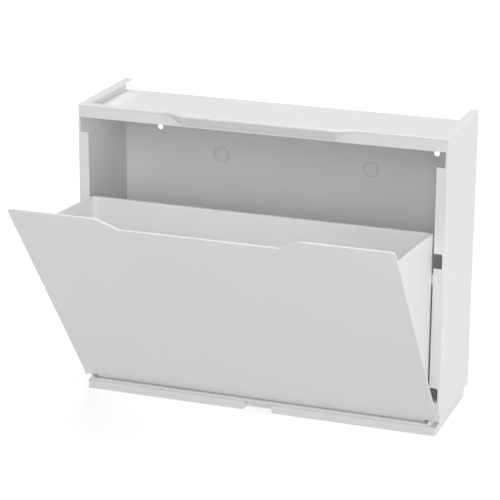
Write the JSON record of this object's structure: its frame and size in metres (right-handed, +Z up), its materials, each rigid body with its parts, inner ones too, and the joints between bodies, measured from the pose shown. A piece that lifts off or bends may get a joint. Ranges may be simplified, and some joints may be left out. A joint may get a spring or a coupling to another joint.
{
  "type": "shoe cabinet",
  "caption": "Shallow white plastic tilt-out shoe cabinet module with a hinged flap and bin, keyholes for the wall, and a plinth that slides into the module below.",
  "frame": {"origin": "on the underside of the plinth, at mid width and at mid depth of the cabinet body", "axes": "+Z up, +X across the width, the front faces -Y and the wall is at +Y"},
  "size_m": [0.51, 0.3884, 0.41],
  "materials": {
    "carcass_plastic": "smooth satin injection-moulded polypropylene",
    "back_plastic": "satin injection-moulded polypropylene",
    "flap_plastic": "smooth satin injection-moulded polypropylene",
    "bin_plastic": "satin injection-moulded polypropylene",
    "hinge_plastic": "dense satin acetal",
    "peg_plastic": "satin moulded plastic",
    "screw_steel": "zinc-plated steel"
  },
  "bodies": {
    "cabinet": {"side_panel_left": "carcass_plastic", "side_panel_right": "carcass_plastic", "top_panel": "carcass_plastic", "back_panel": "back_plastic", "base_panel": "carcass_plastic", "plinth_tray": "carcass_plastic", "hinge_bracket_left": "hinge_plastic", "hinge_bracket_right": "hinge_plastic", "deck_screws": "screw_steel", "back_screws": "screw_steel", "foot_pegs": "peg_plastic", "plinth_screws": "screw_steel"},
    "flap": {"front_panel": "flap_plastic", "drawer_bin": "bin_plastic", "hinge_pin_left": "hinge_plastic", "hinge_pin_right": "hinge_plastic", "flap_rivets": "peg_plastic"}
  },
  "joints": [
    {"name": "flap_tilt", "type": "hinge", "parent": "cabinet", "child": "flap", "pos_m": [0, -0.074, 0.035], "axis": [1, 0, 0], "range_deg": [-37.3, 0]}
  ]
}
